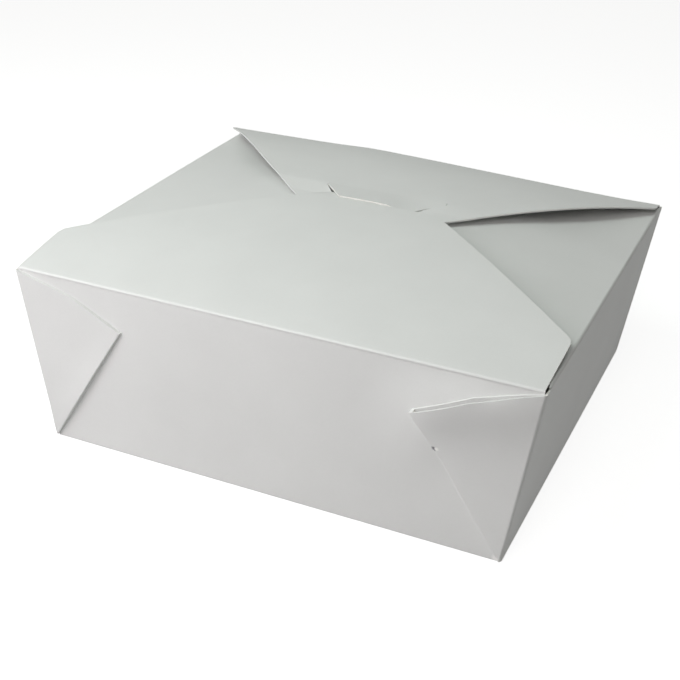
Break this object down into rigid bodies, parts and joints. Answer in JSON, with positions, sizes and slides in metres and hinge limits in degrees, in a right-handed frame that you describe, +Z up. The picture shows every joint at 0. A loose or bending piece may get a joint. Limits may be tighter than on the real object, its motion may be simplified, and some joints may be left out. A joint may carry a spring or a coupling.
{
  "type": "takeout food box",
  "caption": "Folded paperboard carton for takeout food, with leaning walls, glued webbed corners and a top of interlocking flaps. The last flap swings open.",
  "frame": {"origin": "middle of the base's underside, where the box stands", "axes": "+X along the long sides to the right, +Y from the front wall to the back wall, +Z up"},
  "size_m": [0.1718, 0.1514, 0.0697],
  "materials": {
    "coated_board": "satin"
  },
  "bodies": {
    "carton": {"carton": "coated_board"},
    "front_flap": {"front_flap": "coated_board"}
  },
  "joints": [
    {"name": "front_flap_crease", "type": "hinge", "parent": "carton", "child": "front_flap", "pos_m": [0, -0.07408, 0.0609], "axis": [1, 0, 0], "range_deg": [0, 168]}
  ]
}
